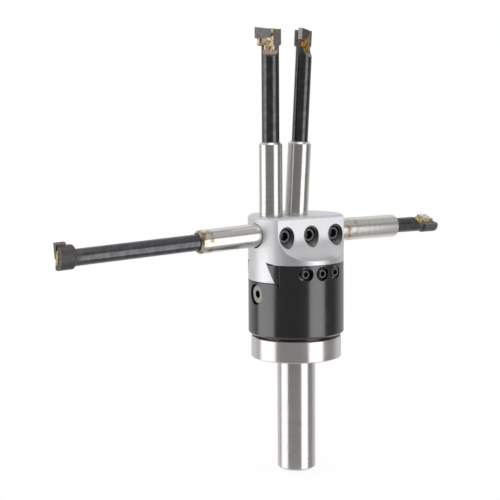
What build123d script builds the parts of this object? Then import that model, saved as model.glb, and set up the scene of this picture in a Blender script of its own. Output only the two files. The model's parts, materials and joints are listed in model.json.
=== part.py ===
from build123d import *
from math import atan, cos, radians, sin, sqrt, tan
import os

# A boring head on a straight shank, standing shank down, with four boring bars set in it.
# Millimetres. +Z runs up the spindle axis to the tool end, +X along the slide's travel, and
# the clamp screws face -Y. The origin is the centre of the flange's lower face.

os.makedirs("parts", exist_ok=True)

# Arbor
shank_d = 20.0
shank_length = 60.0
shank_chamfer = 1.0
centre_hole_d = 4.0
flange_d = 47.2
flange_thickness = 11.3
flange_chamfer = 0.5
boss_d = 40.0
boss_height = 1.25
stub_d = 22.0
stub_wall = 2.25
stub_chamfer = 1.0

# Head body
body_d = 50.0
body_height = 38.0
body_chamfer = 1.1

# Dovetail slide and gib
dovetail_depth = 9.25
dovetail_half_width = 12.95
flank_angle = 25.0
dovetail_edge_break = 0.3
gib_wall_y = 15.15
corner_groove_r = 0.9
slide_head_height = 24.0
slide_chamfer = 1.0
undercut_height = 1.3
undercut_reach = 5.3
front_flat_y = 14.5
scoop_radius = 13.5
ledge_height = 2.25

# Tool holes and their clamp screws
hole_pitch = 15.0
tool_hole_depth = 22.0
drill_point_angle = 118.0
cross_hole_drop = 9.6
clamp_thread_d = 8.0
clamp_screw_chamfer = 0.75
clamp_face_recess = 2.3
clamp_socket = 4.0
clamp_point_d = 5.5
clamp_point_length = 1.5
relief_d = 9.1
relief_tilt = 26.0
relief_depth = 2.4

# Gib screws
gib_thread_d = 5.0
gib_screw_chamfer = 0.45
gib_screw_pitch = 8.9
gib_screw_drop = 4.5
gib_socket = 2.5
gib_counterbore_d = 7.3
gib_counterbore_y = 21.0
gib_side_face_y = 22.9
gib_lock_face_y = 24.9
gib_dimple_d = 3.3
gib_dimple_depth = 0.6

# Lead screw, its nut and its thrust collar
collar_below_slide = 0.8
travel = 13.0
dial_d = 9.3
dial_thickness = 5.0
dial_recess = 1.4
dial_hole_d = 10.8
dial_socket = 4.0
lead_thread_d = 8.0
bearing_wall = 4.6
collar_d = 12.0
collar_length = 3.6
collar_pin_d = 2.0
nut_d = 12.0
nut_below_screw = 5.9
nut_stud_d = 8.0
nut_stud_length = 5.0
tail_d = 6.0
tail_length = 5.0

# Boring bars
bar_d = 12.0
bar_end_chamfer = 0.5
bar_shoulder_chamfer = 1.2
upright_insertion = 12.0
right_insertion = 16.0
upright_reach = 38.1
left_reach = 34.3
right_reach = 39.0
upright_left_neck_d = 9.1
upright_left_neck_length = 48.9
upright_centre_neck_d = 8.4
upright_centre_neck_length = 48.4
side_left_neck_d = 8.4
side_left_neck_length = 67.9
side_right_neck_d = 8.0
side_right_neck_length = 17.5
left_droop = 2.4
lean_share = 0.85
lean_angle = -31.5
left_cut_angle = 148.5
centre_cut_angle = 210.0
side_left_cut_tilt = 102.0
side_right_cut_tilt = 14.0
head_length = 9.6
head_width = 12.3
head_thickness = 9.3
head_offset = 0.55
head_chamfer = 0.8
head_flat_rise = 1.5
flute_radius = 6.0
rake_rise = 2.5
steel_below_tip = 1.1
tip_reach = 7.9
tip_inner = 0.4
tip_length = 5.7
tip_thickness = 2.2
tip_corner_r = 3.2
tip_slope = 1.0
braze_thickness = 0.25
braze_land = 0.2
braze_puddle_length = 3.5
braze_puddle_reach = 4.2
braze_puddle_side = 1.3
braze_puddle_taper = 45.0

# Clearances
way_gap = 0.05
floor_gap = 0.4
thread_gap = 0.05
stud_gap = 0.02
pocket_gap = 0.3
bar_play = 0.7
seat_gap = 0.02
piece_gap = 0.3
overrun = 1.0

# Heights and places that follow from the sizes
body_bottom = flange_thickness + boss_height
body_top = body_bottom + body_height
slide_bottom = body_top - dovetail_depth
slide_floor = slide_bottom - floor_gap
slide_under = body_top + way_gap
slide_top = body_top + slide_head_height
cross_z = slide_top - cross_hole_drop
lead_z = slide_bottom - collar_below_slide - collar_d / 2
gib_screw_z = body_top - gib_screw_drop
body_r = body_d / 2
far_side = body_r + overrun
bar_r = bar_d / 2
tool_hole_r = (bar_d + bar_play) / 2
flank_slope = tan(radians(flank_angle))
flank_gap = way_gap / cos(radians(flank_angle))

# Directions
up = (0, 0, 1)
down = (0, 0, -1)
along = (1, 0, 0)
front = (0, -1, 0)
back = (0, 1, 0)
from_corner = (Align.MIN, Align.MIN, Align.MIN)

# The lead screw runs from its dial at -X through a bearing wall, the collar and the nut
dial_face = -body_r + dial_recess
bearing_start = dial_face + dial_thickness + seat_gap
pocket_start = bearing_start + bearing_wall
collar_start = pocket_start + seat_gap
nut_x = collar_start + collar_length + piece_gap + travel + nut_d / 2
pocket_end = nut_x + nut_d / 2 + pocket_gap
pocket_floor = lead_z - max(nut_below_screw, collar_d / 2) - pocket_gap
pocket_width = max(nut_d, collar_d) + 2 * pocket_gap
stub_top = pocket_floor - stub_wall - floor_gap


def cylinder_along(radius, length, start, direction):
    """A cylinder that starts at a point and runs along a direction."""
    place = Plane(origin=start, z_dir=direction)
    return place * Cylinder(radius, length, align=(Align.CENTER, Align.CENTER, Align.MIN))


def cone_along(radius, length, start, direction):
    """A cone with its base at a point and its tip along a direction."""
    place = Plane(origin=start, z_dir=direction)
    return place * Cone(radius, 0, length, align=(Align.CENTER, Align.CENTER, Align.MIN))


def turned(outline):
    """A turned solid about the local Z axis from a list of (radius, height) points."""
    face = make_face(Polyline(*[(r, 0, z) for r, z in outline], close=True))
    return revolve(face, Axis.Z)


def prism_along_x(outline, length):
    """A prism centred on X = 0 with a (y, z) outline."""
    face = make_face(Polyline(*[(-length / 2, y, z) for y, z in outline], close=True))
    return extrude(face, amount=length, dir=along)


def hex_socket(across_flats, depth, mouth, direction):
    """A six-sided key hole that runs from its mouth along a direction."""
    place = Plane(origin=mouth, z_dir=direction)
    return extrude(place * RegularPolygon(across_flats / 2, 6, major_radius=False), depth)


def heading(angle):
    """Unit vector in the XY plane at an angle from +X."""
    return (cos(radians(angle)), sin(radians(angle)), 0)


def tilted(angle):
    """Unit vector in the YZ plane at an angle from +Y."""
    return (0, cos(radians(angle)), sin(radians(angle)))


def dovetail_half(z):
    """Half the width of the slide's dovetail at a height."""
    return dovetail_half_width - (z - slide_bottom) * flank_slope


def make_arbor():
    """Straight shank, flange, locating boss and threaded stub, turned in one piece."""
    shank_r = shank_d / 2
    flange_r = flange_d / 2
    outline = [
        (0, -shank_length),
        (shank_r - shank_chamfer, -shank_length),
        (shank_r, -shank_length + shank_chamfer),
        (shank_r, 0),
        (flange_r - flange_chamfer, 0),
        (flange_r, flange_chamfer),
        (flange_r, flange_thickness - flange_chamfer),
        (flange_r - flange_chamfer, flange_thickness),
        (boss_d / 2, flange_thickness),
        (boss_d / 2, body_bottom),
        (stub_d / 2, body_bottom),
        (stub_d / 2, stub_top - stub_chamfer),
        (stub_d / 2 - stub_chamfer, stub_top),
        (0, stub_top),
    ]
    centre_depth = centre_hole_d / 2 / tan(radians(30))
    return turned(outline) - cone_along(centre_hole_d / 2, centre_depth, (0, 0, -shank_length), up)


def make_head_body():
    """The black body: a cylinder with the dovetail slot, screw holes and lead screw pocket."""
    outline = [
        (0, body_bottom),
        (body_r - body_chamfer, body_bottom),
        (body_r, body_bottom + body_chamfer),
        (body_r, body_top),
        (0, body_top),
    ]
    body = turned(outline)

    rear_top = dovetail_half(body_top) + flank_gap
    rear_floor = dovetail_half(slide_floor) + flank_gap
    slot = [
        (-gib_wall_y, slide_floor),
        (rear_floor, slide_floor),
        (rear_top, body_top),
        (rear_top, body_top + overrun),
        (-gib_wall_y, body_top + overrun),
    ]
    body -= prism_along_x(slot, 2 * far_side)
    for y in (-gib_wall_y + corner_groove_r, rear_floor - corner_groove_r / 2):
        body -= cylinder_along(corner_groove_r, 2 * far_side, (-far_side, y, slide_floor), along)

    stub_hole_depth = stub_top + floor_gap - body_bottom
    body -= cylinder_along(stub_d / 2 + thread_gap, stub_hole_depth, (0, 0, body_bottom), up)

    gib_hole_r = gib_thread_d / 2 + thread_gap
    for x in (-gib_screw_pitch, 0, gib_screw_pitch):
        body -= cylinder_along(gib_hole_r, body_r, (x, -gib_wall_y, gib_screw_z), front)
        mouth = (x, -gib_counterbore_y, gib_screw_z)
        body -= cylinder_along(gib_counterbore_d / 2, body_r, mouth, front)

    outside = (-far_side, 0, lead_z)
    body -= cylinder_along(dial_hole_d / 2, far_side + bearing_start, outside, along)
    body -= cylinder_along(lead_thread_d / 2 + thread_gap, body_r, outside, along)
    tail_hole_length = tail_length + floor_gap
    body -= cylinder_along(tail_d / 2 + thread_gap, tail_hole_length, (pocket_end, 0, lead_z), along)

    pocket = Box(pocket_end - pocket_start, pocket_width, body_height, align=from_corner)
    return body - Pos(pocket_start, -pocket_width / 2, pocket_floor) * pocket


def make_lead_screw():
    """Adjusting screw with its round dial head, a cross hole for the pin and a plain tail."""
    thread_end = pocket_end - pocket_gap
    tail_end = pocket_end + tail_length
    outline = [
        (0, 0),
        (dial_d / 2, 0),
        (dial_d / 2, dial_thickness),
        (lead_thread_d / 2, dial_thickness),
        (lead_thread_d / 2, thread_end - dial_face),
        (tail_d / 2, thread_end - dial_face),
        (tail_d / 2, tail_end - dial_face),
        (0, tail_end - dial_face),
    ]
    screw = Plane(origin=(dial_face, 0, lead_z), z_dir=along) * turned(outline)
    screw -= hex_socket(dial_socket, dial_socket, (dial_face, 0, lead_z), along)
    return screw - collar_pin_shape(stud_gap)


def collar_pin_shape(gap):
    """The cross pin that holds the collar on the screw."""
    half = collar_d / 2
    middle = collar_start + collar_length / 2
    pin_r = collar_pin_d / 2 + gap
    return cylinder_along(pin_r, 2 * half + 2 * gap, (middle, 0, lead_z - half - gap), up)


def make_thrust_collar():
    """Ring pinned to the lead screw behind the bearing wall, so the screw can't slide."""
    start = (collar_start, 0, lead_z)
    ring = cylinder_along(collar_d / 2, collar_length, start, along)
    ring -= cylinder_along(lead_thread_d / 2 + stud_gap, collar_length, start, along)
    return ring - collar_pin_shape(stud_gap)


def make_collar_pin():
    """Cross pin, trimmed flush with the collar's rim."""
    rim = cylinder_along(collar_d / 2, collar_length, (collar_start, 0, lead_z), along)
    return collar_pin_shape(0) & rim


def make_lead_nut():
    """Bronze pillar nut: a stud in the slide above, a cross thread on the lead screw below."""
    bottom = lead_z - nut_below_screw
    pillar = cylinder_along(nut_d / 2, slide_bottom - bottom, (nut_x, 0, bottom), up)
    stud = cylinder_along(nut_stud_d / 2, nut_stud_length, (nut_x, 0, slide_bottom), up)
    thread_r = lead_thread_d / 2 + thread_gap
    thread = cylinder_along(thread_r, nut_d, (nut_x - nut_d / 2, 0, lead_z), along)
    return pillar + stud - thread


def make_tool_slide():
    """Tool slide: round head with a flat scooped front, on a dovetail that the body holds."""
    root_z = body_top + undercut_height
    root = dovetail_half(root_z)
    under_y = root + undercut_reach
    right_side = [
        (dovetail_half_width - dovetail_edge_break, slide_bottom),
        (dovetail_half(slide_bottom + dovetail_edge_break), slide_bottom + dovetail_edge_break),
        (root, root_z),
        (under_y, slide_under),
        (far_side, slide_under),
        (far_side, slide_top),
    ]
    left_side = [(-y, z) for y, z in reversed(right_side)]
    section = prism_along_x(right_side + left_side, 2 * far_side)
    blank = turned([
        (0, slide_bottom - overrun),
        (body_r, slide_bottom - overrun),
        (body_r, slide_top - slide_chamfer),
        (body_r - slide_chamfer, slide_top),
        (0, slide_top),
    ])
    slide = section & blank

    scoop_y = front_flat_y + scoop_radius
    ledge_z = body_top + ledge_height
    scoop_z = ledge_z + sqrt(scoop_radius**2 - (scoop_y - body_r) ** 2)
    flat_cut = [
        (-front_flat_y, scoop_z),
        (-front_flat_y, slide_top - slide_chamfer),
        (-front_flat_y + slide_chamfer, slide_top),
        (-front_flat_y + slide_chamfer, slide_top + overrun),
        (-far_side, slide_top + overrun),
        (-far_side, scoop_z),
    ]
    slide -= prism_along_x(flat_cut, 2 * far_side)
    slide -= cylinder_along(scoop_radius, 2 * far_side, (-far_side, -scoop_y, scoop_z), along)

    point_length = tool_hole_r / tan(radians(drill_point_angle / 2))
    hole_bottom = slide_top - tool_hole_depth
    for x in (-hole_pitch, 0):
        slide -= cylinder_along(tool_hole_r, tool_hole_depth, (x, 0, hole_bottom), up)
        slide -= cone_along(tool_hole_r, point_length, (x, 0, hole_bottom), down)
    slide -= cylinder_along(tool_hole_r, 2 * far_side, (-far_side, 0, cross_z), along)

    relief_out = Vector(0, -cos(radians(relief_tilt)), -sin(radians(relief_tilt)))
    clamp_hole_r = clamp_thread_d / 2 + thread_gap
    for x in (-hole_pitch, 0, hole_pitch):
        slide -= cylinder_along(clamp_hole_r, body_r, (x, -tool_hole_r / 2, cross_z), front)
        relief_end = Vector(x, -front_flat_y, cross_z) - relief_out * relief_depth
        slide -= cylinder_along(relief_d / 2, body_r, relief_end, relief_out)

    stud_hole_depth = nut_stud_length + floor_gap
    stud_hole_r = nut_stud_d / 2 + stud_gap
    return slide - cylinder_along(stud_hole_r, stud_hole_depth, (nut_x, 0, slide_bottom), up)


def make_gib():
    """Tapered-side strip between the slide's front flank and the body's upright wall."""
    outer = -gib_wall_y + way_gap
    top = body_top - way_gap
    bottom = slide_floor + way_gap
    section = [
        (outer, bottom),
        (-dovetail_half(bottom) - flank_gap, bottom),
        (-dovetail_half(top) - flank_gap, top),
        (outer, top),
    ]
    strip = prism_along_x(section, body_d) & Pos(0, 0, body_top) * Cylinder(body_r, body_height)
    for x in (-gib_screw_pitch, 0, gib_screw_pitch):
        strip -= cylinder_along(gib_dimple_d / 2, gib_dimple_depth, (x, outer, gib_screw_z), back)
    return strip


def set_screw(diameter, edge, socket, point_d, point_length, face, tip):
    """Set screw along Y: a chamfered socket end at face, and a dog point that ends at tip."""
    length = tip[1] - face[1]
    radius = diameter / 2
    outline = [
        (0, 0),
        (radius - edge, 0),
        (radius, edge),
        (radius, length - point_length - edge),
        (radius - edge, length - point_length),
        (point_d / 2, length - point_length),
        (point_d / 2, length),
        (0, length),
    ]
    screw = Plane(origin=face, z_dir=back) * turned(outline)
    return screw - hex_socket(socket, socket, face, back)


def make_gib_screw(x, face_y):
    """Set screw that presses the gib, with its point in the gib's dimple."""
    face = (x, -face_y, gib_screw_z)
    tip = (x, -gib_wall_y + gib_dimple_depth, gib_screw_z)
    point_d = gib_dimple_d - 2 * way_gap
    return set_screw(
        gib_thread_d, gib_screw_chamfer, gib_socket, point_d, gib_dimple_depth, face, tip
    )


def make_clamp_screw(x, bar_front_y):
    """Set screw that clamps a bar, with its point just against the bar."""
    face = (x, -front_flat_y + clamp_face_recess, cross_z)
    tip = (x, bar_front_y - seat_gap, cross_z)
    return set_screw(
        clamp_thread_d,
        clamp_screw_chamfer,
        clamp_socket,
        clamp_point_d,
        clamp_point_length,
        face,
        tip,
    )


def make_bar(mouth, direction, cut_direction, insertion, reach, neck_d, neck_length):
    """One bar as steel, carbide tip and braze. The rake faces +Y in the bar's own frame."""
    place = Plane(origin=mouth, x_dir=cut_direction, z_dir=direction)
    head_start = reach + neck_length
    end = head_start + head_length
    steel_end = end - steel_below_tip
    neck_r = neck_d / 2
    shaft = turned([
        (0, -insertion),
        (bar_r - bar_end_chamfer, -insertion),
        (bar_r, -insertion + bar_end_chamfer),
        (bar_r, reach - bar_shoulder_chamfer),
        (bar_r - bar_shoulder_chamfer, reach),
        (neck_r, reach),
        (neck_r, head_start + head_chamfer),
        (0, head_start + head_chamfer),
    ])
    head_r = head_width / 2
    head = turned([
        (0, head_start),
        (head_r - head_chamfer, head_start),
        (head_r, head_start + head_chamfer),
        (head_r, steel_end),
        (0, steel_end),
    ])
    head = scale(head, by=(1, head_thickness / head_width, 1))
    blank = shaft + Pos(head_offset, 0, 0) * head

    # The front is milled flat over the whole head, and the tip's seat is cut into the flat
    span = 2 * head_width
    tip_bottom = end - tip_length
    tip_back = rake_rise - tip_thickness
    seat_floor = tip_back - braze_thickness
    seat_bottom = tip_bottom - braze_thickness
    over_all = Box(span, span, span, align=from_corner)
    flat = Pos(-span / 2, head_flat_rise, head_start) * over_all
    flute_axis = (-span / 2, head_flat_rise + flute_radius, head_start)
    flute = cylinder_along(flute_radius, span, flute_axis, along)
    seat = Pos(-tip_inner, seat_floor, seat_bottom) * over_all
    cut = flat + flute + seat
    steel = blank - cut

    corner = (-tip_inner + tip_corner_r, 0, tip_bottom + tip_corner_r)
    tip_outline = Polyline(
        (corner[0], 0, tip_bottom),
        (tip_reach, 0, tip_bottom),
        (tip_reach, 0, end),
        (-tip_inner, 0, end - tip_slope),
        (-tip_inner, 0, corner[2]),
    )
    tip_corner = CenterArc((0, 0, 0), tip_corner_r, 180, 90)
    tip_corner = Plane(origin=corner, x_dir=along, z_dir=front) * tip_corner
    tip_face = Pos(0, rake_rise, 0) * make_face(tip_outline + tip_corner)
    tip = extrude(tip_face, amount=tip_thickness, dir=front)

    # The braze fills the seat round the tip and stands in a puddle on the flat beside it
    braze_end = steel_end - braze_land
    braze_top = rake_rise - braze_land
    bed = Box(span, braze_top - seat_floor, braze_end - seat_bottom, align=from_corner)
    bed = Pos(-tip_inner, seat_floor, seat_bottom) * bed
    puddle_start = seat_bottom - braze_puddle_length
    puddle_inner = -tip_inner - braze_puddle_side
    outline = Polyline(
        (puddle_inner, head_flat_rise, puddle_start),
        (braze_puddle_reach, head_flat_rise, puddle_start),
        (braze_puddle_reach, head_flat_rise, braze_end),
        (puddle_inner, head_flat_rise, braze_end),
        close=True,
    )
    puddle_height = braze_top - head_flat_rise
    puddle = extrude(make_face(outline), amount=puddle_height, dir=back, taper=braze_puddle_taper)
    braze = ((bed + puddle) & cut & blank) - tip
    return place * steel, place * tip, place * braze


parts = {
    "arbor": make_arbor(),
    "head_body": make_head_body(),
    "gib": make_gib(),
    "gib_screw_left": make_gib_screw(-gib_screw_pitch, gib_side_face_y),
    "gib_lock_screw": make_gib_screw(0, gib_lock_face_y),
    "gib_screw_right": make_gib_screw(gib_screw_pitch, gib_side_face_y),
    "lead_screw": make_lead_screw(),
    "thrust_collar": make_thrust_collar(),
    "collar_pin": make_collar_pin(),
    "lead_nut": make_lead_nut(),
    "tool_slide": make_tool_slide(),
}

# The upright left and side right bars sit against the far wall of their holes
seat_y = bar_play / 2 - seat_gap
straight_front_y = seat_y - bar_r

# The upright centre bar leans nearly as far as the play in its hole lets it
lean = atan(lean_share * bar_play / upright_insertion)
lean_heading = heading(lean_angle)
lean_offset = upright_insertion / 2 * tan(lean)
leaning = (sin(lean) * lean_heading[0], sin(lean) * lean_heading[1], cos(lean))
point_depth = cross_hole_drop - clamp_point_d / 2
lean_front_y = (lean_offset - point_depth * tan(lean)) * lean_heading[1] - bar_r / cos(lean)

# The side left bar droops, its inner end against the top of the hole
droop = radians(left_droop)
drooping = (-cos(droop), 0, -sin(droop))
left_insertion = body_r - hole_pitch - bar_r - piece_gap
left_rise = (tool_hole_r - seat_gap) - bar_r / cos(droop) - left_insertion * tan(droop)

parts["clamp_screw_left"] = make_clamp_screw(-hole_pitch, straight_front_y)
parts["clamp_screw_centre"] = make_clamp_screw(0, lean_front_y)
parts["clamp_screw_right"] = make_clamp_screw(hole_pitch, straight_front_y)

bars = {
    "upright_left": dict(
        mouth=(-hole_pitch, seat_y, slide_top),
        direction=up,
        cut_direction=heading(left_cut_angle),
        insertion=upright_insertion,
        reach=upright_reach,
        neck_d=upright_left_neck_d,
        neck_length=upright_left_neck_length,
    ),
    "upright_centre": dict(
        mouth=(lean_offset * lean_heading[0], lean_offset * lean_heading[1], slide_top),
        direction=leaning,
        cut_direction=heading(centre_cut_angle),
        insertion=upright_insertion,
        reach=upright_reach,
        neck_d=upright_centre_neck_d,
        neck_length=upright_centre_neck_length,
    ),
    "side_left": dict(
        mouth=(-body_r, 0, cross_z + left_rise),
        direction=drooping,
        cut_direction=tilted(side_left_cut_tilt),
        insertion=left_insertion,
        reach=left_reach,
        neck_d=side_left_neck_d,
        neck_length=side_left_neck_length,
    ),
    "side_right": dict(
        mouth=(body_r, seat_y, cross_z),
        direction=along,
        cut_direction=tilted(side_right_cut_tilt),
        insertion=right_insertion,
        reach=right_reach,
        neck_d=side_right_neck_d,
        neck_length=side_right_neck_length,
    ),
}
for name, bar in bars.items():
    steel, tip, braze = make_bar(**bar)
    parts["boring_bar_" + name] = steel
    parts["carbide_tip_" + name] = tip
    parts["braze_" + name] = braze

for name, shape in parts.items():
    export_step(shape, f"parts/{name}.step")
    print(name, round(shape.volume, 1))
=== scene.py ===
# %% [markdown]
# A boring head, finished for the camera.
# The frame holds every machined piece at its real size and place, so this script adds the
# looks: steel that was turned, ground, blackened or chromed, carbide tips, lumpy braze and
# real threads on the set screws. Loading the frame first means nothing here needs fitting.

# %% Load the frame
import json
from math import ceil, cos, radians, sin, sqrt

import bmesh
import bpy
from mathutils import Matrix, Vector


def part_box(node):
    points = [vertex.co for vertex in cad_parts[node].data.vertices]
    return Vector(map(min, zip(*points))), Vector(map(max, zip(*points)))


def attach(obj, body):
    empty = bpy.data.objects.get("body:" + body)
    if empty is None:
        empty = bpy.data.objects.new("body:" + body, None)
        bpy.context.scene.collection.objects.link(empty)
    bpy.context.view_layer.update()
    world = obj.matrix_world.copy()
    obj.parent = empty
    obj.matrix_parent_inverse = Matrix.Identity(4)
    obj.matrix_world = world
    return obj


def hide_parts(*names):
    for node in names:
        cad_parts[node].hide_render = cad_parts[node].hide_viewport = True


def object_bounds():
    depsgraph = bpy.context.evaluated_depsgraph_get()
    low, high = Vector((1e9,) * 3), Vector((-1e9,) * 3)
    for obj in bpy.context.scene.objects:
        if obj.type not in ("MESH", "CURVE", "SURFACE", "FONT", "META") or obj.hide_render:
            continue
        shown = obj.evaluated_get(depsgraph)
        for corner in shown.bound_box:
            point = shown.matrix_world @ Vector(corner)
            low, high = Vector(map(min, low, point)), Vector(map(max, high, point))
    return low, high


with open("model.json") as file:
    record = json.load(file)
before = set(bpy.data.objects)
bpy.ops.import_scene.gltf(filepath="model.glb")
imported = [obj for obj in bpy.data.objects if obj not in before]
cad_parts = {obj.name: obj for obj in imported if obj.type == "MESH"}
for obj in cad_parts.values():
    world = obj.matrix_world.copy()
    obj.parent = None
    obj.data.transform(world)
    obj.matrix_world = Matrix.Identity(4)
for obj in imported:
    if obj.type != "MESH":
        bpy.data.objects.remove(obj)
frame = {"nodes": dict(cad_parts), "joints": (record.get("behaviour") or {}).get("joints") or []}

cad_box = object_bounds()
nodes = frame["nodes"]
print("nodes", len(nodes), "box", [[round(v * 1000, 1) for v in corner] for corner in cad_box])

# %% [markdown]
# The frame is in metres, but a machinist thinks in millimetres, so one constant turns
# millimetres into metres. The box of a node gives most of the places that a finish needs,
# such as a screw's length or the dial's face.

# %% Millimetres
MM = 0.001


def size_mm(node):
    """Lowest and highest corner of a node, in millimetres."""
    low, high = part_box(node)
    return low / MM, high / MM


for node in ("arbor", "head_body", "tool_slide"):
    print(node, "reaches up to", round(size_mm(node)[1].z, 2), "mm")

# %% [markdown]
# The camera stands where the photographer stood: in front of the dial side, a little above
# the flange, with a long lens. Its place was worked out from the rims of the head, whose
# ellipses give the height and whose sizes give the distance.

# %% Camera
camera_place = Vector((-422.1, -644.7, 148.2)) * MM
camera_right = Vector((0.85281, -0.52217, -0.00695))
camera_up = Vector((0.06792, 0.09772, 0.99289))
camera_back = camera_right.cross(camera_up)
sensor_mm = 36
focal_mm = 106.83

lens = bpy.data.cameras.new("camera")
lens.sensor_width = sensor_mm
lens.lens = focal_mm
camera = bpy.data.objects.new("camera", lens)
turn = Matrix((camera_right, camera_up, camera_back)).transposed().to_4x4()
camera.matrix_world = Matrix.Translation(camera_place) @ turn
bpy.context.scene.collection.objects.link(camera)
bpy.context.scene.camera = camera
print("camera looks along", [round(v, 3) for v in -camera_back])

# %% [markdown]
# Polished metal shows its surroundings more than itself. The photo shows two tall soft boxes
# in every cylinder, one on the left and one right of the lens. A band at an angle on a
# cylinder mirrors a lamp at twice that angle, and that gives both headings. The right lamp
# hangs lower, and a third, weaker one above the head lights the slide's top.

# %% Lamps
camera_heading = -123.2
lamps_aim_at = Vector((0, 0, 0.07))


def soft_box(name, heading, distance, height, width, tall, power):
    """A rectangular lamp at a heading round the head, with 0 along +X and 90 along +Y."""
    light = bpy.data.lights.new(name, "AREA")
    light.shape = "RECTANGLE"
    light.size = width
    light.size_y = tall
    light.energy = power
    lamp = bpy.data.objects.new(name, light)
    angle = radians(heading)
    lamp.location = (distance * cos(angle), distance * sin(angle), height)
    lamp.rotation_euler = (lamps_aim_at - lamp.location).to_track_quat("-Z", "Y").to_euler()
    bpy.context.scene.collection.objects.link(lamp)


# Name, heading from the camera in degrees, distance, height, width, length (m), power (W)
for name, from_camera, *sizes in (
    ("left_soft_box", -78, 0.9, 0.1, 0.82, 1.1, 4.2),
    ("right_soft_box", 52, 0.9, -0.12, 0.64, 1.1, 3.6),
    ("top_soft_box", 10, 0.35, 0.95, 0.7, 0.7, 2.3),
):
    soft_box(name, camera_heading + from_camera, *sizes)

# %% [markdown]
# Colours are given as screen hex values, but a shader works in linear light. A single
# function does that change everywhere. Another adds a node with its settings, values and links
# in one call, and a few short ones name the nodes that come back most, so that the recipes
# below read as sentences.

# %% Colour and node helpers


def linear(hex_code):
    """A screen colour such as #c0c0c0 as the linear RGBA that shaders use."""
    channels = [int(hex_code[i:i + 2], 16) / 255 for i in (1, 3, 5)]
    return [c / 12.92 if c <= 0.04045 else ((c + 0.055) / 1.055) ** 2.4 for c in channels] + [1]


def add(tree, kind, inputs=None, **settings):
    """Adds one node; an input is either a value or the output socket that feeds it."""
    node = tree.nodes.new(kind)
    for name, value in settings.items():
        setattr(node, name, value)
    for socket, value in (inputs or {}).items():
        if isinstance(value, bpy.types.NodeSocket):
            tree.links.new(value, node.inputs[socket])
        else:
            node.inputs[socket].default_value = value
    return node


def maths(tree, operation, first, second, clamp=False):
    """A sum, product or comparison of two numbers."""
    inputs = {0: first, 1: second}
    return add(tree, "ShaderNodeMath", inputs, operation=operation, use_clamp=clamp).outputs[0]


def dot(tree, first, second):
    """How far one vector runs along another."""
    inputs = {0: first, 1: second}
    return add(tree, "ShaderNodeVectorMath", inputs, operation="DOT_PRODUCT").outputs["Value"]


def length_of(tree, vector):
    """The length of a vector."""
    return add(tree, "ShaderNodeVectorMath", {0: vector}, operation="LENGTH").outputs["Value"]


def xyz(tree, vector):
    """The three numbers of a vector."""
    return add(tree, "ShaderNodeSeparateXYZ", {0: vector}).outputs


def ramp(tree, value, start, end, low=0.0, high=1.0, smooth=False):
    """Goes from low to high while a value goes from start to end."""
    inputs = {"Value": value, "From Min": start, "From Max": end, "To Min": low, "To Max": high}
    kind = "SMOOTHSTEP" if smooth else "LINEAR"
    return add(tree, "ShaderNodeMapRange", inputs, interpolation_type=kind).outputs["Result"]


def blend_value(tree, factor, low, high):
    """A number between two, by a factor from 0 to 1."""
    return add(tree, "ShaderNodeMix", {0: factor, 2: low, 3: high}).outputs[0]


print("mid grey in linear light:", round(linear("#808080")[0], 3))

# %% [markdown]
# Between the lamps lies a dim room. It grows brighter towards the white paper behind the head,
# and the table below and the ceiling above add a little more. Metal mirrors this room, which
# gives its dark bands, and only the camera itself sees plain white.

# %% Room
dim_room = 0.17
lit_room = 0.68
table_light = 0.25
ceiling_light = 0.35

# How far a direction points at the paper, or up and down, where each light starts and is full
paper_edge = (0.15, 0.75)
table_edge = (-0.25, -0.55)
ceiling_edge = (0.2, 0.7)

world = bpy.data.worlds.new("studio")
bpy.context.scene.world = world
world.use_nodes = True
tree = world.node_tree
tree.nodes.clear()
rays = add(tree, "ShaderNodeLightPath").outputs
direction = add(tree, "ShaderNodeTexCoord").outputs["Generated"]
towards_paper = dot(tree, direction, tuple(-camera_back))
room = ramp(tree, towards_paper, *paper_edge, low=dim_room, high=lit_room, smooth=True)
rise = xyz(tree, direction)[2]
table = ramp(tree, rise, *table_edge, high=table_light, smooth=True)
ceiling = ramp(tree, rise, *ceiling_edge, high=ceiling_light, smooth=True)
light = maths(tree, "ADD", maths(tree, "ADD", room, table), ceiling)
seen = blend_value(tree, rays["Is Camera Ray"], light, 1.0)
background = add(tree, "ShaderNodeBackground", {"Color": (1, 1, 1, 1), "Strength": seen})
add(tree, "ShaderNodeOutputWorld", {"Surface": background.outputs[0]})
print("room from", dim_room, "to", lit_room)

# %% [markdown]
# The head stands on a sheet of white paper. To the eye and in mirrors it glows a little, so
# that only a trace of shadow stays round the shank, and it fades out before it would show
# as a disc.

# %% Paper floor
floor_radius = 0.5
fade_start = 20 * MM
fade_end = 70 * MM
glow_share = 0.4

bpy.ops.object.select_all(action="DESELECT")
bpy.ops.mesh.primitive_circle_add(vertices=96, radius=floor_radius, fill_type="NGON",
                                  location=(0, 0, cad_box[0][2]))
floor = bpy.context.object
floor.name = "floor"
bpy.ops.object.transform_apply(location=True)

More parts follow.
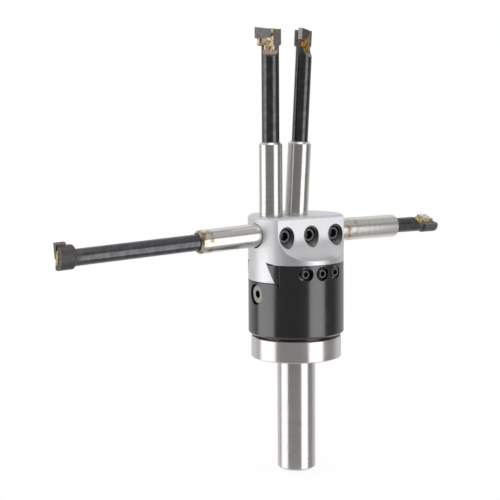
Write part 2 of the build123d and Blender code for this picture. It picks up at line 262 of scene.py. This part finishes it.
paper = bpy.data.materials.new("white_paper")
paper.use_nodes = True
tree = paper.node_tree
tree.nodes.clear()
rays = add(tree, "ShaderNodeLightPath").outputs
place = add(tree, "ShaderNodeTexCoord").outputs["Object"]
fade = ramp(tree, length_of(tree, place), fade_start, fade_end, smooth=True)
lit = add(tree, "ShaderNodeBsdfDiffuse", {"Color": linear("#f4f4f4")})
glow = add(tree, "ShaderNodeEmission", {"Color": (1, 1, 1, 1), "Strength": 1.0})
clear = add(tree, "ShaderNodeBsdfTransparent")
mirrored = maths(tree, "ADD", rays["Is Glossy Ray"], rays["Is Transmission Ray"])
looked_at = maths(tree, "ADD", rays["Is Camera Ray"], mirrored)
share = maths(tree, "MULTIPLY", looked_at, glow_share)
bright = add(tree, "ShaderNodeMixShader", {0: share, 1: lit.outputs[0], 2: glow.outputs[0]})
mixed = add(tree, "ShaderNodeMixShader", {0: fade, 1: bright.outputs[0], 2: clear.outputs[0]})
add(tree, "ShaderNodeOutputMaterial", {"Surface": mixed.outputs[0]})
floor.data.materials.append(paper)

bpy.context.scene.view_settings.view_transform = "Standard"
print("floor at", round(cad_box[0][2] / MM, 1), "mm")

# %% [markdown]
# Every finish begins the same way: a principled shader, the point on the piece in
# millimetres, and a bevel that rounds the sharp edges of the frame's meshes, because no
# machined edge is truly sharp and the thin bright line along it tells the eye it is metal.

# %% The start of every finish
bevel_samples = 4


def bevel(tree, width_mm):
    """The normal of a surface whose edges are rounded."""
    return add(tree, "ShaderNodeBevel", {"Radius": width_mm * MM}, samples=bevel_samples).outputs[0]


def finish(name, metallic, roughness, edge_mm=0.15, ior=None):
    """A new material with its tree, its shader, the point in millimetres and a rounded normal."""
    material = bpy.data.materials.new(name)
    material.use_nodes = True
    tree = material.node_tree
    shader = tree.nodes["Principled BSDF"]
    shader.inputs["Metallic"].default_value = metallic
    shader.inputs["Roughness"].default_value = roughness
    if ior:
        shader.inputs["IOR"].default_value = ior
    place = add(tree, "ShaderNodeTexCoord").outputs["Object"]
    per_metre = (1 / MM,) * 3
    point = add(tree, "ShaderNodeVectorMath", {0: place, 1: per_metre}, operation="MULTIPLY")
    return material, tree, shader, point.outputs[0], bevel(tree, edge_mm)


def coat(tree, shader, **results):
    """Plugs the results of a recipe into the shader's sockets, such as base_color."""
    for name, result in results.items():
        tree.links.new(result, shader.inputs[name.replace("_", " ").title()])


def dress(material, *names):
    """Gives a finish to frame nodes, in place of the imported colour."""
    for name in names:
        nodes[name].data.materials.clear()
        nodes[name].data.materials.append(material)


print("finishes can begin")

# %% [markdown]
# What makes metal look real is that it is never even. Noise gives soft blotches, which blend
# two close colours or two degrees of polish, and a bump a thousandth of a millimetre deep
# breaks up the light. On a lathe the tool leaves rings, so noise squeezed flat across the axis
# draws them.

# %% Blotches, rings and bumps
noise_low = 0.3
noise_high = 0.7
ring_width = 0.5


def mottle(tree, point, blotch_mm, detail=3.0, low=0.0, high=1.0):
    """Soft blotches of about a size, as a value from low to high."""
    inputs = {"Vector": point, "Scale": 1 / blotch_mm, "Detail": detail}
    noise = add(tree, "ShaderNodeTexNoise", inputs).outputs[0]
    return ramp(tree, noise, noise_low, noise_high, low, high)


def lathe_rings(tree, point, squeeze):
    """Fine rings round the Z axis, from noise squeezed across it by a factor."""
    squeezed = {0: point, 1: (squeeze, squeeze, 1.0)}
    flat = add(tree, "ShaderNodeVectorMath", squeezed, operation="MULTIPLY").outputs[0]
    return mottle(tree, flat, ring_width, detail=2.0)


def lay_colour(tree, factor, under, over):
    """One colour over another, as far as a factor from 0 to 1 says."""
    inputs = {0: factor, 6: under, 7: over}
    return add(tree, "ShaderNodeMix", inputs, data_type="RGBA").outputs[2]


def blend_colour(tree, factor, low_hex, high_hex):
    """A colour between two hex colours, by a factor from 0 to 1."""
    return lay_colour(tree, factor, linear(low_hex), linear(high_hex))


def bump(tree, height, depth_mm, normal):
    """Bumps a normal by a height from 0 to 1 that stands for a depth in millimetres."""
    inputs = {"Height": height, "Distance": depth_mm * MM, "Strength": 1.0, "Normal": normal}
    return add(tree, "ShaderNodeBump", inputs).outputs[0]


print("noise runs from", noise_low, "to", noise_high)

# %% [markdown]
# The arbor is bare carbon steel, turned all over and then ground on its shank. Fingers leave
# duller patches on it. From just below the flange's top face upward it is painted darker,
# as shade for the groove between its flange and the body.

# %% Turned and ground steel
flange_top = 11.3
gap_shade_fade_start = 0.25
gap_shade_fade_end = 0.05

arbor_steel, tree, shader, point, rounded = finish("ground_carbon_steel", metallic=0.8,
                                                   roughness=0.2)
rings = lathe_rings(tree, point, 0.02)
height = xyz(tree, point)[2]
# Painted shade: from just below the flange's top face upward the steel turns darker, for the shaded
# groove under the body
gap_shade = ramp(tree, height, flange_top - gap_shade_fade_start, flange_top - gap_shade_fade_end)
even_colour = blend_colour(tree, rings, "#dcd7d6", "#e4e0df")
coat(tree, shader,
     base_color=lay_colour(tree, gap_shade, even_colour, linear("#7d7773")),
     roughness=mottle(tree, point, 9.0, low=0.17, high=0.25),
     normal=bump(tree, rings, 0.0008, rounded))
dress(arbor_steel, "arbor")
print(arbor_steel.name)

# %% [markdown]
# The body is steel that was boiled in salts until its skin turned to black iron oxide. The
# oxide is a dense, shiny mineral with a high refractive index, so it is drawn as a dark
# non-metal with IOR 2.0, and the steel shows through where edges have rubbed. The rubbed
# places are found without any map: near an edge the rounded normal leans off the true one.
# The set screws use the same recipe with a paler edge colour, which adds a painted highlight
# round their sockets to the wear.

# %% Black oxide


def edge_mask(tree, rounded, width=0.35):
    """1 along edges and 0 elsewhere, from how far the rounded normal leans."""
    true_normal = add(tree, "ShaderNodeNewGeometry").outputs["Normal"]
    return ramp(tree, dot(tree, rounded, true_normal), 1.0, 1.0 - width, smooth=True)


def black_oxide(name, skin, lighter_edge, roughness, edge_mm, ior):
    """Blackened steel, lighter on its edges: worn, and on the set screws also a painted highlight.
    """
    material, tree, shader, point, rounded = finish(name, 0.0, roughness, edge_mm, ior)
    cloud = mottle(tree, point, 8.0)
    grain = mottle(tree, point, 0.6, detail=2.0)
    patchy = mottle(tree, point, 1.2, low=0.2, high=1.0)
    # Lighter edges: rubbed wear, and with the screws' paler edge colour also a painted highlight
    wear_and_glint = maths(tree, "MULTIPLY", edge_mask(tree, rounded), patchy)
    even_colour = blend_colour(tree, cloud, skin, "#131317")
    coat(tree, shader,
         base_color=lay_colour(tree, wear_and_glint, even_colour, linear(lighter_edge)),
         roughness=blend_value(tree, cloud, roughness - 0.02, roughness + 0.04),
         normal=bump(tree, grain, 0.0005, rounded))
    return material


body_black = black_oxide("black_oxide_steel", skin="#0e0e12", lighter_edge="#5c5b60",
                         roughness=0.19, edge_mm=0.2, ior=2.0)
dress(body_black, "head_body", "gib")
print(body_black.name)

# %% [markdown]
# A few steps come back for every modelled piece: select it alone, apply its modifiers, weld
# it, turn its faces outward. A blank is pulled up from a disc, ring by ring, as a lathe
# would leave it, and serves to keep or to cut away what it shares with a piece.

# %% Helpers for modelled pieces
weld_distance = 1e-6


def alone(piece):
    """Makes a piece the only selected and active object."""
    bpy.ops.object.select_all(action="DESELECT")
    piece.select_set(True)
    bpy.context.view_layer.objects.active = piece


def apply_all(piece):
    """Applies every modifier of a piece, in order."""
    alone(piece)
    for modifier in list(piece.modifiers):
        bpy.ops.object.modifier_apply(modifier=modifier.name)


def weld(distance=weld_distance):
    """Merges the close points of the mesh that is being edited."""
    bpy.ops.mesh.select_all(action="SELECT")
    bpy.ops.mesh.remove_doubles(threshold=distance)


def face_outward():
    """Turns the faces of the mesh that is being edited outward, and ends the editing."""
    bpy.ops.mesh.select_all(action="SELECT")
    bpy.ops.mesh.normals_make_consistent(inside=False)
    bpy.ops.object.mode_set(mode="OBJECT")


def turned_blank(stations, sides):
    """A solid round Z from (radius, height) stations in millimetres, lowest first."""
    bpy.ops.object.select_all(action="DESELECT")
    radius, height = stations[0]
    bpy.ops.mesh.primitive_circle_add(vertices=sides, radius=radius * MM, fill_type="NGON",
                                      location=(0, 0, height * MM))
    bpy.ops.object.transform_apply(location=True)
    bpy.ops.object.mode_set(mode="EDIT")
    bpy.ops.mesh.select_all(action="SELECT")
    for (radius, height), (next_radius, next_height) in zip(stations, stations[1:]):
        rise = (next_height - height) * MM
        bpy.ops.mesh.extrude_region_move(TRANSFORM_OT_translate={"value": (0, 0, rise)})
        grow = next_radius / radius
        bpy.ops.transform.resize(value=(grow, grow, 1), center_override=(0, 0, 0))
    face_outward()
    return bpy.context.object


def cut_with(piece, tool, operation="DIFFERENCE"):
    """Cuts a piece with a tool, or keeps what they share, and deletes the tool."""
    boolean = piece.modifiers.new("cut", "BOOLEAN")
    boolean.operation = operation
    boolean.object = tool
    boolean.solver = "EXACT"
    apply_all(piece)
    bpy.data.objects.remove(tool)


print("modelling helpers ready")

# %% [markdown]
# The set screws have a real thread, rolled into high-tensile steel. A line that zigzags up one
# side of the screw, swept once round while it climbs a pitch, makes the whole thread as a
# single sheet, because each turn then meets the start of the next. Cutting both ends off flat
# closes it.

# %% Threaded rod
thread_depth_share = 0.6134
sweep_steps = 48
run_out_pitches = 1.5
spare_turns = 2
cut_threshold = 1e-7


def thread_line(radius, pitch, start_height, turns):
    """The zigzag of a thread's outline, as one line of points up the +X side."""
    depth = thread_depth_share * pitch
    root = pitch / 4
    crest = pitch / 8
    flank = (pitch - crest - root) / 2
    # Blender adds no single point, so a small plane is cut down to one corner
    bpy.ops.object.select_all(action="DESELECT")
    bpy.ops.mesh.primitive_plane_add(size=MM)
    line = bpy.context.object
    bpy.ops.object.mode_set(mode="EDIT")
    shape = bmesh.from_edit_mesh(line.data)
    for i, corner in enumerate(shape.verts):
        corner.select_set(i > 0)
    shape.select_flush_mode()
    bpy.ops.mesh.delete(type="VERT")
    bpy.ops.mesh.select_all(action="SELECT")
    shape = bmesh.from_edit_mesh(line.data)
    shape.verts.ensure_lookup_table()
    start = Vector((radius - depth, 0, start_height)) * MM
    bpy.ops.transform.translate(value=start - shape.verts[0].co)
    for _ in range(turns):
        for out, up in ((0, root), (depth, flank), (0, crest), (-depth, flank)):
            move = {"value": (out * MM, 0, up * MM)}
            bpy.ops.mesh.extrude_vertices_move(TRANSFORM_OT_translate=move)
    bpy.ops.object.mode_set(mode="OBJECT")
    return line


def threaded_rod(radius, pitch, low, high):
    """A rod with an ISO thread between two heights, flat and closed at both ends."""
    turns = ceil((high - low) / pitch) + spare_turns
    rod = thread_line(radius, pitch, low - run_out_pitches * pitch, turns)
    sweep = rod.modifiers.new("sweep", "SCREW")
    sweep.screw_offset = pitch * MM
    sweep.steps = sweep_steps
    sweep.render_steps = sweep_steps
    apply_all(rod)
    bpy.ops.object.mode_set(mode="EDIT")
    weld()
    for height, ends in ((high, {"clear_outer": True}), (low, {"clear_inner": True})):
        bpy.ops.mesh.select_all(action="SELECT")
        bpy.ops.mesh.bisect(plane_co=(0, 0, height * MM), plane_no=(0, 0, 1),
                            threshold=cut_threshold, use_fill=True, **ends)
    face_outward()
    return rod


print("sides of a thread", sweep_steps)

# %% [markdown]
# A real set screw starts as that rod. Keeping what it shares with a turned blank gives the
# chamfers and the narrower point, and two more cuts give the key socket with its drilled
# bottom and its countersunk mouth. Each one is modelled standing up with its face at height
# zero, turned as the photo shows its socket, and laid into its hole.

# %% Set screws
# How far the end chamfers reach below the thread's root, the blank stands outside the
# thread, and rods and tools run past a flat end, in millimetres
edge_below_root = 0.1
blank_gap = 0.05
run_past = 0.5
point_chamfer = 0.2
drill_radius = 0.2
drill_depth = 0.8
mouth_chamfer = 0.4
hex_sides = 6
screw_weld = 3e-6
gap_sides = 4
smooth_below = radians(30)

# The paler edge colour of the screws paints the bright highlight rings round their sockets, on top
# of wear
screw_black = black_oxide("black_oxide_screw", skin="#0e0e11", lighter_edge="#a09fa5",
                          roughness=0.26, edge_mm=0.1, ior=1.8)


def screw_shape(length, radius, pitch, socket, point_radius, point_length):
    """A set screw from its face at height zero down to its point."""
    edge = thread_depth_share * pitch + edge_below_root
    over = radius + blank_gap
    outline = [
        (point_radius - point_chamfer, -length),
        (point_radius, -length + point_chamfer),
        (point_radius, -length + point_length),
        (over - edge, -length + point_length),
        (over, -length + point_length + edge),
        (over, -edge),
        (over - edge, 0),
    ]
    screw = threaded_rod(radius, pitch, -length - run_past, run_past)
    cut_with(screw, turned_blank(outline, sweep_steps), "INTERSECT")
    corner = socket / sqrt(3)
    key_hole = [(drill_radius, -socket - drill_depth), (corner, -socket), (corner, run_past)]
    cut_with(screw, turned_blank(key_hole, hex_sides))
    mouth = [(corner - run_past, -mouth_chamfer), (corner + mouth_chamfer, run_past)]
    cut_with(screw, turned_blank(mouth, sweep_steps))
    bpy.ops.object.mode_set(mode="EDIT")
    weld(screw_weld)
    bpy.ops.mesh.dissolve_degenerate(threshold=weld_distance)
    bpy.ops.mesh.select_all(action="SELECT")
    bpy.ops.mesh.fill_holes(sides=gap_sides)
    face_outward()
    return screw


def set_screw(node, turned_by, **measures):
    """A socket set screw in place of a frame node, whose box gives its length and place."""
    low, high = size_mm(node)
    screw = screw_shape(high.y - low.y, **measures)
    screw.name = node + "_threaded"
    screw.rotation_euler = (0, 0, radians(turned_by))
    alone(screw)
    bpy.ops.object.transform_apply(rotation=True)
    screw.rotation_euler = (radians(90), 0, 0)
    screw.location = Vector((low.x + high.x, 2 * low.y, low.z + high.z)) / 2 * MM
    bpy.ops.object.transform_apply(location=True, rotation=True)
    bpy.ops.object.shade_smooth_by_angle(angle=smooth_below)
    screw.data.materials.clear()
    screw.data.materials.append(screw_black)
    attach(screw, node)
    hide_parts(node)
    return screw


m8_screw = dict(radius=4.0, pitch=1.25, socket=4.0, point_radius=2.75, point_length=1.5)
m5_screw = dict(radius=2.5, pitch=0.8, socket=2.5, point_radius=1.6, point_length=0.6)
for node, turned_by, measures in (
    ("clamp_screw_left", 12, m8_screw),
    ("clamp_screw_centre", 34, m8_screw),
    ("clamp_screw_right", 3, m8_screw),
    ("gib_screw_left", 20, m5_screw),
    ("gib_lock_screw", 8, m5_screw),
    ("gib_screw_right", 41, m5_screw),
):
    screw = set_screw(node, turned_by, **measures)
    print(screw.name, len(screw.data.polygons), "faces")

# %% [markdown]
# The tool slide is blasted with fine beads and then hard chromed, so its surface scatters
# light into a soft silver with no grain direction. The reliefs round the clamp screws are
# coloured a darker, mottled brown grey. They all slant alike, so the distance from the
# nearest slanted axis tells whether a point lies in one.

# %% Satin chrome
hole_pitch = 15.0
relief_lean = radians(26)
relief_wall = 4.62
relief_inside = 4.5
front_face = 14.5
reliefs_in_front_of = -6.0

clamp_low, clamp_high = size_mm("clamp_screw_left")
cross_z = (clamp_low.z + clamp_high.z) / 2
satin, tree, shader, point, rounded = finish("satin_hard_chrome", metallic=0.85, roughness=0.42,
                                             edge_mm=0.25)
where = xyz(tree, point)
pitch_ends = {0: where[0], 1: hole_pitch / 2, 2: -hole_pitch / 2}
beside = add(tree, "ShaderNodeMath", pitch_ends, operation="WRAP").outputs[0]
above = maths(tree, "SUBTRACT", where[2], cross_z)
behind = maths(tree, "ADD", where[1], front_face)
from_hole = add(tree, "ShaderNodeCombineXYZ", {0: beside, 1: above, 2: behind}).outputs[0]
leaned = dot(tree, from_hole, (0, cos(relief_lean), -sin(relief_lean)))
off_axis = add(tree, "ShaderNodeCombineXYZ", {0: beside, 1: leaned}).outputs[0]
in_relief = ramp(tree, length_of(tree, off_axis), relief_wall, relief_inside)
in_front = maths(tree, "LESS_THAN", where[1], reliefs_in_front_of)
haze = mottle(tree, point, 14.0)
chromed = blend_colour(tree, haze, "#e2e2e5", "#e8e8eb")
# Inside the reliefs the colour is a darker, mottled brown grey
relief_grey = blend_colour(tree, mottle(tree, point, 0.7, detail=2.0), "#484340", "#968e88")
coat(tree, shader,
     base_color=lay_colour(tree, maths(tree, "MULTIPLY", in_relief, in_front), chromed, relief_grey),
     roughness=blend_value(tree, haze, 0.39, 0.46),
     normal=bump(tree, mottle(tree, point, 0.5, detail=2.0), 0.002, rounded))
dress(satin, "tool_slide")
print(satin.name, "with reliefs at", round(cross_z, 2), "mm")

# %% [markdown]
# The small inner pieces are plain: a turned dial with a key socket, a collar, a pin and a
# bronze nut. Only the dial's face stays bright: the socket's walls and all that lies behind
# the face are painted darker, as shade.

# %% Dial and inner pieces
dial_rim = 0.2
shade_reach = 0.6

dial_steel, tree, shader, point, rounded = finish("turned_dial_steel", metallic=0.85,
                                                  roughness=0.28)
grain = mottle(tree, point, 0.6, detail=2.0)
dial_face = size_mm("lead_screw")[0].x
# Painted shade: from 0.2 to 0.6 mm behind the dial's face, the socket walls and the pieces behind
# it fade to a dark brown grey
socket_shade = ramp(tree, xyz(tree, point)[0], dial_face + dial_rim, dial_face + shade_reach)
bright = blend_colour(tree, grain, "#c2bfb8", "#d2cfc9")
coat(tree, shader,
     base_color=lay_colour(tree, socket_shade, bright, linear("#57534d")),
     normal=bump(tree, grain, 0.001, rounded))
dress(dial_steel, "lead_screw", "thrust_collar", "collar_pin")

bronze, tree, shader, point, rounded = finish("turned_bearing_bronze", metallic=1.0, roughness=0.32)
grain = mottle(tree, point, 0.5, detail=2.0)
coat(tree, shader,
     base_color=blend_colour(tree, grain, "#a8763a", "#c4934f"),
     normal=bump(tree, grain, 0.003, rounded))
dress(bronze, "lead_nut")
print(dial_steel.name, bronze.name)

# %% [markdown]
# Each bar lies another way, so its finishes need its own axes. The joint that lets it draw
# out gives the long axis. The tip gives the rest: of its two largest flat faces, the one
# that lies further out is the rake face, on which the chip would run off.

# %% The bars' own axes
foot_band = 1


def bar_frame(name):
    """A bar's foot, its own axes as a matrix and its tip's end, read from its steel and tip."""
    joint = next(j for j in frame["joints"] if j["child"] == "bar_" + name)
    direction = Vector(joint["axis"]).normalized()
    points = [v.co / MM for v in nodes["boring_bar_" + name].data.vertices]
    along = [p.dot(direction) for p in points]
    start = min(along)
    near_start = [p for p, a in zip(points, along) if a < start + foot_band]
    foot = sum(near_start, Vector()) / len(near_start)
    foot -= direction * (foot.dot(direction) - start)
    tip = nodes["carbide_tip_" + name].data
    faces = {}
    for face in tip.polygons:
        key = tuple(round(v, 2) for v in face.normal)
        area, reach = faces.get(key, (0, 0))
        faces[key] = (area + face.area, (face.center / MM - foot).dot(face.normal))
    largest = sorted(faces, key=lambda key: faces[key][0])[-2:]
    rake = Vector(max(largest, key=lambda key: faces[key][1])).normalized()
    side = rake.cross(direction).normalized()
    axes = Matrix((side, direction.cross(side), direction)).transposed()
    tip_end = max((v.co / MM - foot).dot(direction) for v in tip.vertices)
    return foot, axes, tip_end


bar_names = ("upright_left", "upright_centre", "side_left", "side_right")
bars = {name: bar_frame(name) for name in bar_names}
print("tip ends in mm from each foot", {name: round(bar[2], 1) for name, bar in bars.items()})

# %% [markdown]
# A boring bar has three finishes on one piece of steel: a bright ground shank, a neck black
# with forging scale, and a milled head that brazing has tempered brown along its edges. A
# mapping node stands the bar upright, and the finishes then change with the height. The two
# side bars carry a stain of straw and brown on the shank as well.

# %% Boring bar steel
shoulder_at = {"upright_left": 50.1, "upright_centre": 50.1, "side_left": 38.0, "side_right": 55.0}
scorch_at = {"side_left": 35.0, "side_right": 23.5}
head_colours = {"upright_left": ("#78777c", "#93908f"), "upright_centre": ("#57555a", "#7c7676"),
                "side_left": ("#4a4a4d", "#64605e"), "side_right": ("#525359", "#6b6a6e")}

# Heights from the shoulder and from the middle of a stain, and depths below the tip's end
shoulder_fade = (-0.35, 0.1)
stain_band = (-5, -2, 2, 5)
heat_band = (15, 12.5, 10, 8)
head_fade = (15, 8)
flute_side = (0.8, 2.2)


def band(tree, height, start, full, still_full, end):
    """1 between two heights, with a fade on either side."""
    rising = ramp(tree, height, start, full, smooth=True)
    falling = ramp(tree, height, end, still_full, smooth=True)
    return maths(tree, "MULTIPLY", rising, falling)


def rubbed_edges(tree, width_mm, patches):
    """1 along wide rubbed edges, broken up by patches."""
    lighter_edge = edge_mask(tree, bevel(tree, width_mm), 0.25)
    return maths(tree, "MULTIPLY", lighter_edge, patches, clamp=True)


def shank_colour(tree, name, height, rings, stain):
    """Bright ground steel, stained on the side bars."""
    ground = blend_colour(tree, rings, "#d4d2ce", "#dedcd8")
    if name not in scorch_at:
        return ground
    middle = scorch_at[name]
    near = band(tree, height, *(middle + offset for offset in stain_band))
    burnt = maths(tree, "MULTIPLY", near, stain, clamp=True)
    return lay_colour(tree, burnt, ground, blend_colour(tree, stain, "#dcd0ae", "#ab8a60"))


def neck_and_head_colour(tree, name, own, own_xyz, near_tip, stain, tip_end):
    """Black scale on the neck, and grey milled steel with brown heat tint on the head."""
    cloud = mottle(tree, own, 3.0, detail=1.0)
    scale = blend_colour(tree, cloud, "#535356", "#656568")
    milled = blend_colour(tree, mottle(tree, own, 0.9), *head_colours[name])
    rub = rubbed_edges(tree, 1.1, mottle(tree, own, 1.4, low=-0.1, high=1.3))
    head = lay_colour(tree, rub, milled, blend_colour(tree, cloud, "#bb8f62", "#a69c90"))
    below_braze = band(tree, own_xyz[2], *(tip_end - depth for depth in heat_band))
    in_flute = ramp(tree, own_xyz[1], *flute_side)
    browned = maths(tree, "MULTIPLY", below_braze, stain, clamp=True)
    browned = maths(tree, "MULTIPLY", browned, in_flute)
    unheated = lay_colour(tree, near_tip, scale, head)
    return lay_colour(tree, browned, unheated, linear("#8b7057"))


def bar_steel(name):
    """Ground shank, black scaled neck and heat-tinted head on one bar."""
    foot, axes, tip_end = bars[name]
    material, tree, shader, point, rounded = finish("bar_steel_" + name, metallic=0.85,
                                                    roughness=0.2, edge_mm=0.2)
    from_foot = add(tree, "ShaderNodeVectorMath", {0: point, 1: foot}, operation="SUBTRACT")
    upright = {"Vector": from_foot.outputs[0], "Rotation": axes.transposed().to_euler()}
    own = add(tree, "ShaderNodeMapping", upright).outputs[0]
    own_xyz = xyz(tree, own)
    height = own_xyz[2]
    neck_start, neck_full = (shoulder_at[name] + offset for offset in shoulder_fade)
    on_neck = ramp(tree, height, neck_start, neck_full, smooth=True)
    near_tip = ramp(tree, height, *(tip_end - depth for depth in head_fade), smooth=True)
    rings = lathe_rings(tree, own, 0.03)
    stain = mottle(tree, own, 3.2, low=-0.6, high=1.3)
    bright = shank_colour(tree, name, height, rings, stain)
    dark = neck_and_head_colour(tree, name, own, own_xyz, near_tip, stain, tip_end)
    coat(tree, shader,
         base_color=lay_colour(tree, on_neck, bright, dark),
         metallic=blend_value(tree, near_tip, 0.88, 0.55),
         roughness=blend_value(tree, on_neck, 0.2, blend_value(tree, near_tip, 0.2, 0.5)),
         normal=bump(tree, rings, 0.0006, rounded))
    return material


for name in bars:
    dress(bar_steel(name), "boring_bar_" + name)
print("stained shanks", list(scorch_at))

# %% [markdown]
# Cemented carbide is tungsten carbide grains in cobalt, sintered and then ground: a heavy grey
# metal with a dull shine. The heat of brazing leaves brown and green films on it, and they
# differ on every tip in the photo, so each has its own pair of colours for the rake face and
# its own pair for the sides.

# %% Carbide tips
rake_cone = (0.8, 0.95)
tip_colours = {
    "upright_left": ("#8f8d90", "#b9b5b2", "#9b999b", "#b9b5b2"),
    "upright_centre": ("#3c3636", "#6b5a4c", "#a3a1a3", "#bdb9b6"),
    "side_left": ("#4d3d40", "#75655f", "#463b3d", "#6b5f5f"),
    "side_right": ("#b9b6b4", "#e6e2dc", "#6b625c", "#a39a90"),
}


def carbide(name):
    """One tip: a rake face filmed by its own brazing, and ground sides."""
    rake = tuple(bars[name][1].col[1])
    material, tree, shader, point, rounded = finish("sintered_carbide_" + name, metallic=0.6,
                                                    roughness=0.42, edge_mm=0.1)
    outward = add(tree, "ShaderNodeTexCoord").outputs["Normal"]
    on_rake = ramp(tree, dot(tree, outward, rake), *rake_cone)
    film = mottle(tree, point, 1.1)
    rake_low, rake_high, side_low, side_high = tip_colours[name]
    filmed = blend_colour(tree, film, rake_low, rake_high)
    ground = blend_colour(tree, film, side_low, side_high)
    faces = lay_colour(tree, on_rake, ground, filmed)
    rub = rubbed_edges(tree, 0.8, film)
    coat(tree, shader,
         base_color=lay_colour(tree, rub, faces, linear("#cdc6bb")),
         normal=bump(tree, mottle(tree, point, 0.5), 0.01, rounded))
    return material


for name in bars:
    dress(carbide(name), "carbide_tip_" + name)
    print("sintered carbide on", name)

# %% [markdown]
# The braze is brass rod, melted with a torch round the carbide. It stays gold where it ran
# freely, and takes a skin of brown oxide and glassy flux where the flame played longest.

# %% Flame-brazed brass
braze_colours = {"upright_left": ("#dcb684", "#f2e4cb"), "upright_centre": ("#96702e", "#c79c50"),
                 "side_left": ("#a8874b", "#d9c48c"), "side_right": ("#a98f48", "#dccb86")}


def brass_braze(name):
    """Brass braze with brown oxide where the flame played longest."""
    material, tree, shader, point, rounded = finish("flame_brazed_brass_" + name, metallic=0.7,
                                                    roughness=0.34, edge_mm=0.1)
    flow = mottle(tree, point, 2.6)
    burnt = mottle(tree, point, 2.0, low=-1.3, high=1.2)
    gold = blend_colour(tree, flow, *braze_colours[name])
    coat(tree, shader,
         base_color=lay_colour(tree, burnt, gold, linear("#6f4a22")),
         roughness=blend_value(tree, flow, 0.3, 0.5),
         normal=bump(tree, mottle(tree, point, 1.0), 0.03, rounded))
    return material


brasses = {name: brass_braze(name) for name in bars}
print("brass on", list(brasses))

# %% [markdown]
# Molten brass creeps into every corner and freezes as a lumpy puddle. A merged copy of the
# frame's plain braze is joined with six flattened drops, which lie below, beside and behind
# the tip. A fine remesh makes them one skin, smoothing pulls it taut, and a cloud texture
# pushes it in and out.

# %% Lumpy braze
puddle_voxel = 0.12
smoothing_steps = 6
lump_size = 1.8
lump_height = 0.4
lump_level = 0.4

lumps = bpy.data.textures.new("frozen_lumps", "CLOUDS")
lumps.noise_scale = lump_size * MM
lumps.noise_depth = 2

# Each drop is its centre in a bar's own axes, with z down from the tip's end, and its radii
drops = (
    ((0.8, 1.3, -7.4), (2.8, 1.5, 2.2)),
    ((3.0, 1.2, -7.0), (2.2, 1.3, 1.6)),
    ((-0.9, 1.2, -5.2), (1.0, 1.1, 2.6)),
    ((0.4, 1.5, -10.6), (2.9, 1.0, 2.6)),
    ((4.9, 1.1, -7.4), (1.8, 1.4, 2.2)),
    ((0.8, -0.3, -1.1), (4.2, 1.2, 0.5)),
)


def merged_copy(node, name):
    """A copy of a frame node's mesh under a new name, with its doubled points merged."""
    piece = nodes[node].copy()
    piece.data = nodes[node].data.copy()
    bpy.context.scene.collection.objects.link(piece)
    piece.name = name
    alone(piece)
    bpy.ops.object.mode_set(mode="EDIT")
    weld()
    bpy.ops.object.mode_set(mode="OBJECT")
    return piece


def drop_on(bar, centre, radii):
    """One flattened drop of braze on a bar's head."""
    foot, axes, tip_end = bar
    bpy.ops.object.select_all(action="DESELECT")
    bpy.ops.mesh.primitive_uv_sphere_add(segments=24, ring_count=12, radius=MM)
    drop = bpy.context.object
    at = foot + axes @ (Vector(centre) + Vector((0, 0, tip_end)))
    drop.matrix_world = Matrix.LocRotScale(at * MM, axes.to_quaternion(), Vector(radii))
    return drop


def lumpy_braze(name):
    """The frozen puddle that stands for one braze node."""
    puddle = merged_copy("braze_" + name, "braze_puddle_" + name)
    on_head = [drop_on(bars[name], centre, radii) for centre, radii in drops]
    alone(puddle)
    for drop in on_head:
        drop.select_set(True)
    bpy.ops.object.join()
    bpy.ops.object.transform_apply(location=True, rotation=True, scale=True)
    remesh = puddle.modifiers.new("fine", "REMESH")
    remesh.voxel_size = puddle_voxel * MM
    soften = puddle.modifiers.new("soften", "SMOOTH")
    soften.iterations = smoothing_steps
    swell = puddle.modifiers.new("lumps", "DISPLACE")
    swell.texture = lumps
    swell.texture_coords = "LOCAL"
    swell.strength = lump_height * MM
    swell.mid_level = lump_level
    apply_all(puddle)
    bpy.ops.object.shade_smooth()
    puddle.data.materials.clear()
    puddle.data.materials.append(brasses[name])
    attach(puddle, "bar_" + name)
    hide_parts("braze_" + name)
    return puddle


for name in bars:
    puddle = lumpy_braze(name)
    print(puddle.name, len(puddle.data.polygons), "faces")
